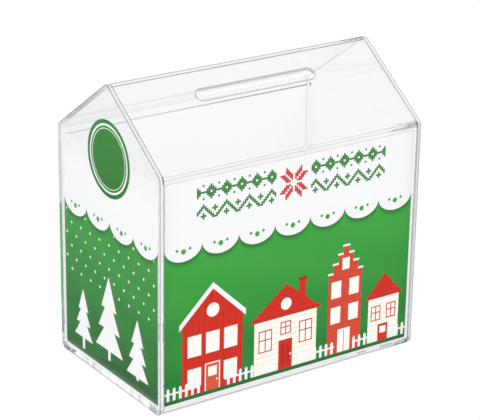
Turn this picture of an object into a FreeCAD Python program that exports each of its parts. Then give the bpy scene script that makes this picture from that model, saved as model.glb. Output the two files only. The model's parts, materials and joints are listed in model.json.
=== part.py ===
import FreeCAD, Part
import math
import os

import Sketcher
from FreeCAD import Placement, Rotation, Vector

# House-shaped donation box of clear 3 mm sheet. Millimetres, +Z up, +X along
# the ridge, -Y is the front. Origin: bottom centre.

doc = FreeCAD.newDocument("donation_box")

# ---------------------------------------------------------------- dimensions
DIMS = [
    ("length", 220.0),        # outside, gable to gable
    ("depth", 136.0),         # outside, front to back
    ("eave_height", 174.0),   # where wall and roof planes meet
    ("roof_rise", 48.0),      # from there to the ridge planes' meeting line
    ("sheet", 3.0),           # clear sheet
    ("bend_radius", 5.0),     # outside radius of the bends
    ("lip", 15.0),            # turned-in lips under the base plate
    ("edge_break", 0.4),      # polished edge of the gable plates
    ("slot_length", 100.0),
    ("slot_width", 9.5),
    ("slot_drop", 23.4),      # slot centre below the ridge, along the slope
    ("base_gap", 2.2),        # base plate to front and back wall
    ("base_end_gap", 0.3),    # base plate to gable
    ("opening_length", 110.0),
    ("opening_width", 74.0),
    ("opening_radius", 4.0),
    ("hatch_gap", 0.6),
    ("hatch_drop", 0.3),      # hatch plate sits this much lower than the base
    ("film", 0.4),
    ("film_gap", 0.3),
    ("film_bottom", 6.2),
    ("film_top", 168.5),
    ("film_top_back", 166.5),
    ("film_long", 210.6),
    ("film_short", 125.4),
    ("film_corner", 0.5),
    ("label_radius", 28.0),
    ("label_height", 167.5),
    ("label_thick", 0.15),
    ("label_gap", 0.05),
    ("hinge_x", 36.0),
    ("hinge_z", 1.4),
    ("leaf_length", 24.0),
    ("leaf_width", 11.0),
    ("leaf_thick", 0.8),
    ("knuckle_r", 1.1),
    ("knuckle_half", 4.0),
    ("knuckle_clear", 0.15),
    ("leaf_clear", 0.35),
    ("pin_r", 0.5),
    ("pin_clear", 0.02),
    ("rivet_x", 7.5),
    ("rivet_y", 7.0),
    ("rivet_r", 1.0),
    ("rivet_clear", 0.05),
    ("rivet_head_r", 1.8),
    ("rivet_head", 0.8),
    ("lock_y", 26.0),
    ("flange_r", 9.0),
    ("flange_z", 0.5),
    ("barrel_r", 6.0),
    ("barrel_flat", 5.2),
    ("barrel_top", 19.0),
    ("plug_r", 4.0),
    ("plug_clear", 0.03),
    ("plug_recess", 0.25),
    ("key_width", 1.0),
    ("key_length", 5.4),
    ("key_depth", 6.0),
    ("tail_half", 2.8),
    ("tail_clear", 0.05),
    ("nut_flat", 8.0),
    ("nut_clear", 0.03),
    ("nut_thick", 3.0),
    ("cam_gap", 0.3),
    ("cam_thick", 2.0),
    ("cam_reach", 24.0),
    ("cam_half", 5.0),
    ("cam_r", 7.0),
    ("screw_r", 1.5),
    ("screw_head_r", 4.2),
    ("screw_head", 2.2),
    ("screw_depth", 8.0),
    ("strike_half", 9.0),
    ("strike_width", 10.5),
    ("strike_set", 2.5),      # from the opening's edge to the strike block
    ("tab_x", 34.0),
    ("tab_half", 8.0),
    ("tab_in", 5.0),
    ("tab_out", 8.0),
]
sheet = doc.addObject("Spreadsheet::Sheet", "Dims")
for row, (alias, value) in enumerate(DIMS, start=1):
    sheet.set("A%d" % row, alias)
    sheet.set("B%d" % row, repr(value))
    sheet.setAlias("B%d" % row, alias)
doc.recompute()


class Q:
    """A size: its value now, and the same thing as an expression on the sheet."""

    def __init__(self, value, text):
        self.v, self.t = value, text

    @staticmethod
    def of(other):
        return other if isinstance(other, Q) else Q(float(other), repr(float(other)))

    def __add__(self, o):
        o = Q.of(o)
        return Q(self.v + o.v, "(%s + %s)" % (self.t, o.t))

    def __radd__(self, o):
        return Q.of(o) + self

    def __sub__(self, o):
        o = Q.of(o)
        return Q(self.v - o.v, "(%s - %s)" % (self.t, o.t))

    def __rsub__(self, o):
        return Q.of(o) - self

    def __mul__(self, o):
        o = Q.of(o)
        return Q(self.v * o.v, "(%s * %s)" % (self.t, o.t))

    def __rmul__(self, o):
        return Q.of(o) * self

    def __truediv__(self, o):
        o = Q.of(o)
        return Q(self.v / o.v, "(%s / %s)" % (self.t, o.t))

    def __neg__(self):
        return Q(-self.v, "(0 - %s)" % self.t)


D = {alias: Q(value, "Dims.%s" % alias) for alias, value in DIMS}
L, DEP, EAVE, RISE, T = (D[k] for k in ("length", "depth", "eave_height", "roof_rise", "sheet"))
RIDGE = EAVE + RISE
PITCH = Q(math.degrees(math.atan2(RISE.v, DEP.v / 2)), "atan(%s / (%s / 2))" % (RISE.t, DEP.t))
COSP = Q(math.cos(math.radians(PITCH.v)), "cos(%s)" % PITCH.t)
SINP = Q(math.sin(math.radians(PITCH.v)), "sin(%s)" % PITCH.t)
INX = L / 2 - T          # inside faces of the gables
INY = DEP / 2 - T        # inside faces of the front and back walls


def bind(obj, prop, q):
    q = Q.of(q)
    obj.setExpression(prop, q.t)


def place(obj, x=0, y=0, z=0, rot=None):
    qs = [Q.of(c) for c in (x, y, z)]
    obj.Placement = Placement(Vector(*[q.v for q in qs]), rot or Rotation())
    for axis, q in zip("xyz", qs):
        if q.v != 0:
            bind(obj, "Placement.Base.%s" % axis, q)


# ------------------------------------------------------- sketched piece helpers
def new_body(label):
    b = doc.addObject("PartDesign::Body", label)
    b.Label = label
    return b


def origin_plane(body, role):
    return next(f for f in body.Origin.OriginFeatures if f.Role == role)


def new_sketch(body, name, role="XY_Plane", lift=None):
    sk = body.newObject("Sketcher::SketchObject", name)
    sk.AttachmentSupport = [(origin_plane(body, role), "")]
    sk.MapMode = "FlatFace"
    if lift is not None:
        lift = Q.of(lift)
        sk.AttachmentOffset = Placement(Vector(0, 0, lift.v), Rotation())
        bind(sk, "AttachmentOffset.Base.z", lift)
    return sk


def pin_point(sk, geo, pos, x, y):
    for kind, q, axis in (("DistanceX", Q.of(x), -2), ("DistanceY", Q.of(y), -1)):
        if q.v == 0:
            sk.addConstraint(Sketcher.Constraint("PointOnObject", geo, pos, axis))
        else:
            c = sk.addConstraint(Sketcher.Constraint(kind, -1, 1, geo, pos, q.v))
            bind(sk, "Constraints[%d]" % c, q)


def polygon(sk, points):
    pts = [(Q.of(x), Q.of(y)) for x, y in points]
    n = len(pts)
    first = sk.GeometryCount
    for i in range(n):
        (x0, y0), (x1, y1) = pts[i], pts[(i + 1) % n]
        sk.addGeometry(Part.LineSegment(Vector(x0.v, y0.v, 0), Vector(x1.v, y1.v, 0)), False)
    for i in range(n):
        sk.addConstraint(Sketcher.Constraint("Coincident", first + i, 2, first + (i + 1) % n, 1))
    for i, (x, y) in enumerate(pts):
        pin_point(sk, first + i, 1, x, y)


def rectangle(sk, x0, x1, y0, y1):
    polygon(sk, [(x0, y0), (x1, y0), (x1, y1), (x0, y1)])


def circle(sk, x, y, r):
    x, y, r = Q.of(x), Q.of(y), Q.of(r)
    g = sk.addGeometry(Part.Circle(Vector(x.v, y.v, 0), Vector(0, 0, 1), r.v), False)
    pin_point(sk, g, 3, x, y)
    c = sk.addConstraint(Sketcher.Constraint("Radius", g, r.v))
    bind(sk, "Constraints[%d]" % c, r)


def stadium(sk, half, r):
    """A long hole along X with full round ends; half is to the round ends' centres."""
    half, r = Q.of(half), Q.of(r)
    top = sk.addGeometry(Part.LineSegment(Vector(-half.v, r.v, 0), Vector(half.v, r.v, 0)), False)
    right = sk.addGeometry(Part.ArcOfCircle(Part.Circle(Vector(half.v, 0, 0), Vector(0, 0, 1), r.v), -math.pi / 2, math.pi / 2), False)
    low = sk.addGeometry(Part.LineSegment(Vector(half.v, -r.v, 0), Vector(-half.v, -r.v, 0)), False)
    left = sk.addGeometry(Part.ArcOfCircle(Part.Circle(Vector(-half.v, 0, 0), Vector(0, 0, 1), r.v), math.pi / 2, 3 * math.pi / 2), False)
    for a, pa, b, pb in ((top, 2, right, 2), (right, 1, low, 1), (low, 2, left, 2), (left, 1, top, 1)):
        sk.addConstraint(Sketcher.Constraint("Tangent", a, pa, b, pb))
    pin_point(sk, right, 3, half, 0)
    pin_point(sk, left, 3, -half, 0)
    c = sk.addConstraint(Sketcher.Constraint("Radius", right, r.v))
    bind(sk, "Constraints[%d]" % c, r)


def pad(body, name, sk, height, reverse=False):
    p = body.newObject("PartDesign::Pad", name)
    p.Profile = sk
    p.Reversed = reverse
    bind(p, "Length", height)
    doc.recompute()
    return p


def pocket(body, name, sk, depth, reverse=False, removed=None):
    before = body.Shape.Volume
    p = body.newObject("PartDesign::Pocket", name)
    p.Profile = sk
    p.Reversed = reverse
    bind(p, "Length", depth)
    doc.recompute()
    cut_away = before - body.Shape.Volume
    if cut_away <= 0 or (removed is not None and abs(cut_away - removed) > 0.02 * removed):
        raise RuntimeError("%s removed %.2f mm3, expected %s" % (name, cut_away, removed))
    return p


def edges_where(shape, test):
    return ["Edge%d" % (i + 1) for i, e in enumerate(shape.Edges) if test(e)]


def along(e, axis):
    if len(e.Vertexes) != 2 or not isinstance(e.Curve, (Part.Line, Part.LineSegment)):
        return False
    d = e.Vertexes[1].Point - e.Vertexes[0].Point
    d.normalize()
    return abs(abs(d.dot(axis)) - 1) < 1e-6


def fillet(body, name, base, names, r):
    f = body.newObject("PartDesign::Fillet", name)
    f.Base = (base, names)
    bind(f, "Radius", r)
    doc.recompute()
    return f


AX, AY, AZ = Vector(1, 0, 0), Vector(0, 1, 0), Vector(0, 0, 1)
HOUSE = [(-DEP / 2, 0), (DEP / 2, 0), (DEP / 2, EAVE), (0, RIDGE), (-DEP / 2, EAVE)]
nodes = []


# ------------------------------------------------------------------ the wrap
wrap = new_body("wrap")
sk = new_sketch(wrap, "wrap_profile", "YZ_Plane")
polygon(sk, HOUSE)
wp = pad(wrap, "wrap_block", sk, L - 2 * T)
wf = fillet(wrap, "wrap_bends", wp, edges_where(wp.Shape, lambda e: along(e, AX)), D["bend_radius"])
ends = ["Face%d" % (i + 1) for i, f in enumerate(wf.Shape.Faces) if abs(abs(f.normalAt(0, 0).x) - 1) < 1e-6]
th = wrap.newObject("PartDesign::Thickness", "wrap_sheet")
th.Base = (wf, ends)
th.Reversed = True
bind(th, "Value", T)
doc.recompute()
sk = new_sketch(wrap, "lip_gap")
rectangle(sk, -1, L - 2 * T + 1, -(DEP / 2 - D["lip"]), DEP / 2 - D["lip"])
gap_w = DEP.v - 2 * D["lip"].v
pocket(wrap, "lips", sk, T + 1, True, gap_w * T.v * (L.v - 2 * T.v))
sk = new_sketch(wrap, "slot_outline")
# on a plane 2 mm above the front slope, tilted as the slope is
down, above = D["slot_drop"], Q.of(2)
oy = -(down * COSP) - above * SINP
oz = RIDGE - down * SINP + above * COSP
sk.AttachmentOffset = Placement(Vector((L / 2 - T).v, oy.v, oz.v), Rotation(AX, PITCH.v))
bind(sk, "AttachmentOffset.Base.x", L / 2 - T)
bind(sk, "AttachmentOffset.Base.y", oy)
bind(sk, "AttachmentOffset.Base.z", oz)
bind(sk, "AttachmentOffset.Rotation.Angle", PITCH)
r_slot = D["slot_width"] / 2
stadium(sk, D["slot_length"] / 2 - r_slot, r_slot)
area = (D["slot_length"].v - 2 * r_slot.v) * 2 * r_slot.v + math.pi * r_slot.v ** 2
pocket(wrap, "slot", sk, above + T + 1, False, area * T.v)
place(wrap, -(L / 2 - T))
nodes.append(wrap)


# ---------------------------------------------------------------- the gables
def gable(label, x, outer_x):
    b = new_body(label)
    s = new_sketch(b, label + "_outline", "YZ_Plane")
    polygon(s, HOUSE)
    p = pad(b, label + "_plate", s, T)
    f = fillet(b, label + "_corners", p, edges_where(p.Shape, lambda e: along(e, AX)), D["bend_radius"])
    c = b.newObject("PartDesign::Chamfer", label + "_edge")
    c.Base = (f, edges_where(f.Shape, lambda e: all(abs(v.Point.x - outer_x) < 1e-6 for v in e.Vertexes)))
    bind(c, "Size", D["edge_break"])
    doc.recompute()
    place(b, x)
    nodes.append(b)


gable("left_gable", -(L / 2), 0.0)
gable("right_gable", L / 2 - T, T.v)


# ------------------------------------------------- base plate and hatch plate
OL, OW, OR = D["opening_length"] / 2, D["opening_width"] / 2, D["opening_radius"]
HG, HD = D["hatch_gap"], D["hatch_drop"]
HX, RX, RY = D["hinge_x"], D["rivet_x"], D["rivet_y"]
HOLE = D["rivet_r"] + D["rivet_clear"]
LY = -D["lock_y"]
base = new_body("base_plate")
bx, by = INX - D["base_end_gap"], INY - D["base_gap"]
sk = new_sketch(base, "base_outline")
rectangle(sk, -bx, bx, -by, by)
pad(base, "base_sheet", sk, T)
sk = new_sketch(base, "base_opening")
rectangle(sk, -OL, OL, -OW, OW)
pk = pocket(base, "opening", sk, T, True, 4 * OL.v * OW.v * T.v)
inner = lambda e: along(e, AZ) and abs(e.Vertexes[0].Point.x) < OL.v + 0.1
fillet(base, "opening_corners", pk, edges_where(pk.Shape, inner), OR)
sk = new_sketch(base, "base_rivet_holes")
for sx in (-1, 1):
    for rx in (-1, 1):
        circle(sk, sx * HX + rx * RX, OW + RY, HOLE)
pocket(base, "rivet_holes", sk, T, True, 4 * math.pi * HOLE.v ** 2 * T.v)
place(base, 0, 0, T)
nodes.append(base)

hatch = new_body("hatch_plate")
sk = new_sketch(hatch, "hatch_outline")
rectangle(sk, -(OL - HG), OL - HG, -(OW - HG), OW - HG)
hp = pad(hatch, "hatch_sheet", sk, T)
fillet(hatch, "hatch_corners", hp, edges_where(hp.Shape, lambda e: along(e, AZ)), OR - HG)
sk = new_sketch(hatch, "hatch_rivet_holes")
for sx in (-1, 1):
    for rx in (-1, 1):
        circle(sk, sx * HX + rx * RX, OW - RY, HOLE)
pocket(hatch, "hatch_holes", sk, T, True, 4 * math.pi * HOLE.v ** 2 * T.v)
HZ = T - HD                  # underside of the hatch plate
place(hatch, 0, 0, HZ)


# --------------------------------------------------- primitive piece helpers
def box(name, x0, x1, y0, y1, z0, z1):
    o = doc.addObject("Part::Box", name)
    bind(o, "Length", Q.of(x1) - x0)
    bind(o, "Width", Q.of(y1) - y0)
    bind(o, "Height", Q.of(z1) - z0)
    place(o, x0, y0, z0)
    return o


def cyl(name, x, y, z, r, h, rot=None):
    o = doc.addObject("Part::Cylinder", name)
    bind(o, "Radius", r)
    bind(o, "Height", h)
    place(o, x, y, z, rot)
    return o


def cone(name, x, y, z, r0, r1, h):
    o = doc.addObject("Part::Cone", name)
    bind(o, "Radius1", r0)
    bind(o, "Radius2", r1)
    bind(o, "Height", h)
    place(o, x, y, z)
    return o


def fuse(name, objs):
    o = doc.addObject("Part::MultiFuse", name)
    o.Shapes = objs
    o.Refine = True
    return o


def cut(name, a, b):
    o = doc.addObject("Part::Cut", name)
    o.Base, o.Tool = a, b
    o.Refine = True
    return o


def common(name, objs):
    o = doc.addObject("Part::MultiCommon", name)
    o.Shapes = objs
    return o


def group(name, objs):
    o = doc.addObject("Part::Compound", name)
    o.Links = objs
    return o


def node(obj, label):
    obj.Label = label
    nodes.append(obj)
    return obj


# the hatch plate's hole for the lock barrel, with two flats
lock_hole = common("lock_hole", [
    cyl("lock_hole_round", 0, LY, 0, D["barrel_r"] + 0.05, 3 * T),
    box("lock_hole_flats", -(D["barrel_flat"] + 0.05), D["barrel_flat"] + 0.05, LY - 10, LY + 10, 0, 3 * T),
])
hatch.Label = "hatch_blank"
node(cut("hatch_cut", hatch, lock_hole), "hatch_plate")


# ---------------------------------------------------------- printed films
def film(label, along_x, side, half, top):
    """A flat film standing inside a wall; side is +1 or -1 on the wall's axis."""
    b = new_body(label)
    s = new_sketch(b, label + "_outline", "XZ_Plane" if along_x else "YZ_Plane")
    rectangle(s, -half, half, D["film_bottom"], top)
    p = pad(b, label + "_sheet", s, D["film"])
    cross = AY if along_x else AX
    corner = lambda e: along(e, cross)
    fillet(b, label + "_corners", p, edges_where(p.Shape, corner), D["film_corner"])
    wall = (INY if along_x else INX) - D["film_gap"]
    lo = b.Shape.BoundBox.YMin if along_x else b.Shape.BoundBox.XMin
    # the pad grows to one side of its plane: put that slab against the wall
    if side > 0:
        at = wall - D["film"] if lo > -1e-6 else wall
    else:
        at = -wall if lo > -1e-6 else -wall + D["film"]
    place(b, *((0, at) if along_x else (at, 0)))
    nodes.append(b)


film("front_print", True, -1, D["film_long"] / 2, D["film_top"])
film("back_print", True, 1, D["film_long"] / 2, D["film_top_back"])
film("left_print", False, -1, D["film_short"] / 2, D["film_top"])
film("right_print", False, 1, D["film_short"] / 2, D["film_top"])

turn_x = Rotation(AY, 90)    # a cylinder's axis from Z to X
node(cyl("label_disc", -(INX - D["label_gap"]), 0, D["label_height"], D["label_radius"], D["label_thick"], turn_x), "gable_label")


# ------------------------------------------------------------------- hinges
KR, KH, KC, LC = D["knuckle_r"], D["knuckle_half"], D["knuckle_clear"], D["leaf_clear"]
AXY, AXZ = OW, D["hinge_z"]          # the hinge line
LT, LW, LH = D["leaf_thick"], D["leaf_width"], D["leaf_length"] / 2
BORE = D["pin_r"] + D["pin_clear"]


def leaf_holes(name, x, y, z):
    return [cyl("%s_h%d" % (name, i), x + s * RX, y, z - 1, HOLE, LT + 2) for i, s in enumerate((-1, 1))]


for side, sx in (("left", -1), ("right", 1)):
    x = sx * HX
    n = side + "_fixed"
    z0 = T - LT
    plates = [
        box(n + "_plate", x - LH, x + LH, AXY + KR + LC, AXY + LW, z0, T),
        box(n + "_arm_a", x - LH, x - KH - KC, AXY, AXY + KR + LC + 1, z0, T),
        box(n + "_arm_b", x + KH + KC, x + LH, AXY, AXY + KR + LC + 1, z0, T),
        cyl(n + "_knuckle_a", x - LH, AXY, AXZ, KR, LH - KH - KC, turn_x),
        cyl(n + "_knuckle_b", x + KH + KC, AXY, AXZ, KR, LH - KH - KC, turn_x),
    ]
    tools = [cyl(n + "_bore", x - LH - 1, AXY, AXZ, BORE, 2 * LH + 2, turn_x)] + leaf_holes(n, x, AXY + RY, z0)
    node(cut(n + "_cut", fuse(n + "_solid", plates), fuse(n + "_tools", tools)), "hinge_%s_fixed_leaf" % side)
    n = side + "_moving"
    z0 = HZ - LT
    plates = [
        box(n + "_plate", x - LH, x + LH, AXY - LW, AXY - KR - LC, z0, HZ),
        box(n + "_arm", x - KH + KC, x + KH - KC, AXY - KR - LC - 1, AXY, z0, HZ),
        cyl(n + "_knuckle", x - KH + KC, AXY, AXZ, KR, 2 * (KH - KC), turn_x),
    ]
    tools = [cyl(n + "_bore", x - LH - 1, AXY, AXZ, BORE, 2 * LH + 2, turn_x)] + leaf_holes(n, x, AXY - RY, z0)
    node(cut(n + "_cut", fuse(n + "_solid", plates), fuse(n + "_tools", tools)), "hinge_%s_moving_leaf" % side)

node(group("pins", [cyl("pin_" + s, sx * HX - LH, AXY, AXZ, D["pin_r"], 2 * LH, turn_x) for s, sx in (("left", -1), ("right", 1))]), "hinge_pins")


def rivets(label, y, leaf_under, plate_top):
    made = []
    hr, hh, hs = D["rivet_head_r"], D["rivet_head"], D["rivet_r"] + 0.1
    for i, (sx, rx) in enumerate(((-1, -1), (-1, 1), (1, -1), (1, 1))):
        x = sx * HX + rx * RX
        n = "%s_%d" % (label, i)
        made.append(fuse(n, [
            cyl(n + "_shank", x, y, leaf_under, D["rivet_r"], plate_top - leaf_under),
            cone(n + "_low", x, y, leaf_under - hh, hs, hr, hh),
            cone(n + "_top", x, y, plate_top, hr, hs, hh),
        ]))
    node(group(label + "_set", made), label)


rivets("base_rivets", AXY + RY, T - LT, 2 * T)
rivets("hatch_rivets", AXY - RY, HZ - LT, HZ + T)


# --------------------------------------------------------- strike and stops
strike = box("strike_box", -D["strike_half"], D["strike_half"], -(OW + D["strike_set"] + D["strike_width"]), -(OW + D["strike_set"]), 2 * T, D["barrel_top"])
node(strike, "strike_block")
node(group("tabs", [box("tab_" + s, sx * D["tab_x"] - D["tab_half"], sx * D["tab_x"] + D["tab_half"], -(OW + D["tab_out"]), -(OW - D["tab_in"]), 2 * T, 3 * T) for s, sx in (("left", -1), ("right", 1))]), "stop_tabs")


# ----------------------------------------------------------------- cam lock
FZ, BT, BR, PR = D["flange_z"], D["barrel_top"], D["barrel_r"], D["plug_r"]
barrel_round = common("barrel_flats", [
    cyl("barrel_round", 0, LY, HZ, BR, BT - HZ),
    box("barrel_sides", -D["barrel_flat"], D["barrel_flat"], LY - 10, LY + 10, HZ, BT),
])
flange = fuse("flange", [
    cyl("flange_disc", 0, LY, FZ + 0.6, D["flange_r"], HZ - FZ - 0.6),
    cone("flange_face", 0, LY, FZ, D["flange_r"] - 0.9, D["flange_r"], 0.6),
])
node(cut("barrel_cut", fuse("barrel_solid", [barrel_round, flange]), cyl("barrel_bore", 0, LY, 0, PR + D["plug_clear"], BT + 1)), "lock_barrel")

NF = D["nut_flat"]
nut = new_body("nut_body")
sk = new_sketch(nut, "nut_outline")
t30 = Q(math.tan(math.pi / 6), "tan(30 deg)")
c30 = Q(1 / math.cos(math.pi / 6), "(1 / cos(30 deg))")
polygon(sk, [(NF, -(NF * t30)), (NF, NF * t30), (0, NF * c30), (-NF, NF * t30), (-NF, -(NF * t30)), (0, -(NF * c30))])
pad(nut, "nut_hex", sk, D["nut_thick"])
sk = new_sketch(nut, "nut_hole")
NR = BR + D["nut_clear"]
circle(sk, 0, 0, NR)
pocket(nut, "nut_thread", sk, D["nut_thick"], True, math.pi * NR.v ** 2 * D["nut_thick"].v)
place(nut, 0, LY, HZ + T)
node(nut, "lock_nut")

TH, TAIL = D["tail_half"], BT + D["cam_gap"] + D["cam_thick"]
PZ = FZ + D["plug_recess"]
plug_solid = fuse("plug_solid", [
    cyl("plug_round", 0, LY, PZ, PR, BT - PZ),
    box("plug_tail", -TH, TH, LY - TH, LY + TH, BT - 1, TAIL),
])
plug_tools = fuse("plug_tools", [
    box("keyway", -D["key_width"] / 2, D["key_width"] / 2, LY - D["key_length"] / 2, LY + D["key_length"] / 2, 0, PZ + D["key_depth"]),
    cyl("screw_hole", 0, LY, TAIL - D["screw_depth"] - 0.5, D["screw_r"] + 0.02, D["screw_depth"] + 2),
])
node(cut("plug_cut", plug_solid, plug_tools), "lock_plug")

CZ, CT = BT + D["cam_gap"], D["cam_thick"]
cam_solid = fuse("cam_solid", [
    cyl("cam_round", 0, LY, CZ, D["cam_r"], CT),
    box("cam_arm", 0, D["cam_reach"] - D["cam_half"], LY - D["cam_half"], LY + D["cam_half"], CZ, CZ + CT),
    cyl("cam_tip", D["cam_reach"] - D["cam_half"], LY, CZ, D["cam_half"], CT),
])
TC = TH + D["tail_clear"]
node(cut("cam_cut", cam_solid, box("cam_square", -TC, TC, LY - TC, LY + TC, CZ - 1, CZ + CT + 1)), "lock_cam")

screw = fuse("screw_solid", [
    cyl("screw_washer", 0, LY, TAIL, D["screw_head_r"], 0.6),
    cone("screw_dome", 0, LY, TAIL + 0.6, D["screw_head_r"] - 1, D["screw_head_r"] - 1.8, D["screw_head"] - 0.6),
    cyl("screw_shank", 0, LY, TAIL - D["screw_depth"], D["screw_r"], D["screw_depth"]),
])
cross = fuse("screw_cross", [
    box("cross_a", -2, 2, LY - 0.35, LY + 0.35, TAIL + D["screw_head"] - 0.9, TAIL + D["screw_head"] + 1),
    box("cross_b", -0.35, 0.35, LY - 2, LY + 2, TAIL + D["screw_head"] - 0.9, TAIL + D["screw_head"] + 1),
])
node(cut("screw_cut", screw, cross), "cam_screw")

# ------------------------------------------------------------ check and write
doc.recompute()
bad = [o.Name for o in doc.Objects if "Invalid" in o.State or "Error" in o.State]
if bad:
    raise RuntimeError("failed objects: %s" % bad)
for o in nodes:
    if o.Shape.isNull() or not o.Shape.isValid() or o.Shape.Volume <= 0:
        raise RuntimeError("bad shape: %s" % o.Label)
os.makedirs("parts", exist_ok=True)
for o in nodes:
    o.Shape.exportStep("parts/%s.step" % o.Label)
    b = o.Shape.BoundBox
    print("%-26s solids %d  vol %9.1f  x %7.2f %7.2f  y %7.2f %7.2f  z %7.2f %7.2f" % (o.Label, len(o.Shape.Solids), o.Shape.Volume, b.XMin, b.XMax, b.YMin, b.YMax, b.ZMin, b.ZMax))
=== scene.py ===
import json
import math

import bpy
from mathutils import Matrix, Vector
from mathutils.geometry import tessellate_polygon

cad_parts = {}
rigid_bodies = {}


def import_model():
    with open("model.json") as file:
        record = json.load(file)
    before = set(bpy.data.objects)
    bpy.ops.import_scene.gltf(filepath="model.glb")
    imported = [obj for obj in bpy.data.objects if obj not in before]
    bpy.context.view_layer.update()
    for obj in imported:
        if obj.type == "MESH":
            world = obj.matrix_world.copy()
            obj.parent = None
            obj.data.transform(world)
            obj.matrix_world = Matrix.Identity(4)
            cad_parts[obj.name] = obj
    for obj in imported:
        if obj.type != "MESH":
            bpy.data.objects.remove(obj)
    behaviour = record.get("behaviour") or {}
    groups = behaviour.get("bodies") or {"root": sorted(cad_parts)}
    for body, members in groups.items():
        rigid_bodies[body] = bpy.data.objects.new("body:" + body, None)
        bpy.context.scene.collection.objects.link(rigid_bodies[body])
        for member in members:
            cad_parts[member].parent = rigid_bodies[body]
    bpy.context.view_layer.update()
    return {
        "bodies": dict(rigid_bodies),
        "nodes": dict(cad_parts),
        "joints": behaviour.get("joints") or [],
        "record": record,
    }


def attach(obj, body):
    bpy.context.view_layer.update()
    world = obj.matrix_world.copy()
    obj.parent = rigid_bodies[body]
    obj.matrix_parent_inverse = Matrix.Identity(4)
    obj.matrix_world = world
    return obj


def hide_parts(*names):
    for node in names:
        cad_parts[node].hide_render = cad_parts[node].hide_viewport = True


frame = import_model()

# House-shaped donation box of clear sheet, in metres. +X runs along the ridge,
# -Y is the front, +Z is up, the box stands on z = 0.
MM = 0.001
scene = bpy.context.scene


# ---------------------------------------------------------------------------
# meshes
# ---------------------------------------------------------------------------
class Builder:
    """Collects a closed mesh in millimetres with the true normal at each corner."""

    def __init__(self):
        self.index, self.verts, self.faces, self.normals, self.mats = {}, [], [], [], []

    def vert(self, p):
        key = tuple(round(c, 5) for c in p)
        if key not in self.index:
            self.index[key] = len(self.verts)
            self.verts.append(Vector(p) * MM)
        return self.index[key]

    def face(self, points, normals, mat=0):
        if isinstance(normals, Vector):
            normals = [normals] * len(points)
        ids, ns = [], []
        for p, n in zip(points, normals):
            i = self.vert(p)
            if i not in ids:
                ids.append(i)
                ns.append(Vector(n).normalized())
        if len(ids) < 3:
            return
        a, b, c = (self.verts[ids[k]] for k in (0, 1, 2))
        area = Vector((0, 0, 0))
        for k in range(1, len(ids) - 1):
            area += (self.verts[ids[k]] - a).cross(self.verts[ids[k + 1]] - a)
        if area.dot(sum(ns, Vector((0, 0, 0)))) < 0:
            ids.reverse()
            ns.reverse()
        self.faces.append(ids)
        self.normals.append(ns)
        self.mats.append(mat)

    def strip(self, ring_a, ring_b, na, nb, closed, mat=0):
        n = len(ring_a)
        for i in range(n if closed else n - 1):
            j = (i + 1) % n
            self.face([ring_a[i], ring_a[j], ring_b[j], ring_b[i]], [na[i], na[j], nb[j], nb[i]], mat)

    def fill(self, loops, flat, normal, mat=0):
        """A flat face bounded by the first loop, with the other loops as holes. flat(p) gives its plane coordinates."""
        points = [p for loop in loops for p in loop]
        tris = tessellate_polygon([[Vector((*flat(p), 0)) for p in loop] for loop in loops])
        for t in tris:
            self.face([points[k] for k in t], normal, mat)

    def make(self, name, materials):
        mesh = bpy.data.meshes.new(name)
        mesh.from_pydata(self.verts, [], self.faces)
        mesh.polygons.foreach_set("use_smooth", [True] * len(self.faces))
        mesh.polygons.foreach_set("material_index", self.mats)
        for m in materials:
            mesh.materials.append(m)
        mesh.normals_split_custom_set([n for ns in self.normals for n in ns])
        mesh.update()
        obj = bpy.data.objects.new(name, mesh)
        scene.collection.objects.link(obj)
        return obj


def arc(c, r, a0, a1, seg):
    """Stations (point, outward normal) of an arc in a plane."""
    out = []
    for k in range(seg + 1):
        a = a0 + (a1 - a0) * k / seg
        n = Vector((math.cos(a), math.sin(a)))
        out.append((c + n * r, n))
    return out


def round_rect(x0, x1, y0, y1, r, seg=6):
    h = math.pi / 2
    corners = [((x1 - r, y1 - r), 0), ((x0 + r, y1 - r), h), ((x0 + r, y0 + r), 2 * h), ((x1 - r, y0 + r), 3 * h)]
    return [s for c, a in corners for s in arc(Vector(c), r, a, a + h, seg)]


def circle(x, y, r, seg=32):
    return arc(Vector((x, y)), r, 0, 2 * math.pi * (seg - 1) / seg, seg - 1)


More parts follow.
